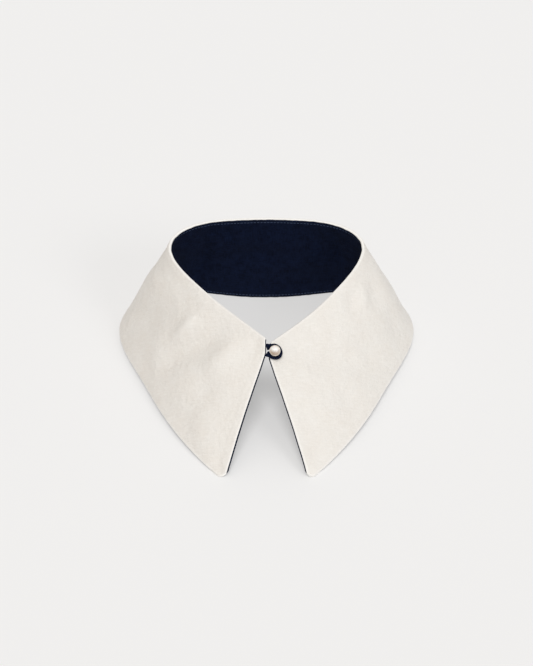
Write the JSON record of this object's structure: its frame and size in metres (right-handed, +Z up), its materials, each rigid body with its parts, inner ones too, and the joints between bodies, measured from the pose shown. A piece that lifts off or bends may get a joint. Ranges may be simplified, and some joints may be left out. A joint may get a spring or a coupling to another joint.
{
  "type": "detachable shirt collar",
  "caption": "Pointed detachable collar in cream cloth with a dark lining, buttoned into a ring by a loop and bead, standing on its hem.",
  "frame": {"origin": "centre of the bounding box at its lowest level, on the surface that the hem stands on", "axes": "+Z up from the hem to the neck edge, +X across the collar towards its right front, -Y towards its two points"},
  "size_m": [0.2062, 0.1914, 0.073],
  "materials": {
    "cream_sateen": "cotton sateen with a soft sheen",
    "navy_cotton": "matt plain-woven cotton",
    "pearl": "pearly gloss",
    "shank_metal": "satin"
  },
  "bodies": {
    "root": {"outer_collar": "cream_sateen", "lining": "navy_cotton", "button_loop": "navy_cotton", "bead": "pearl", "shank": "shank_metal"}
  },
  "joints": []
}
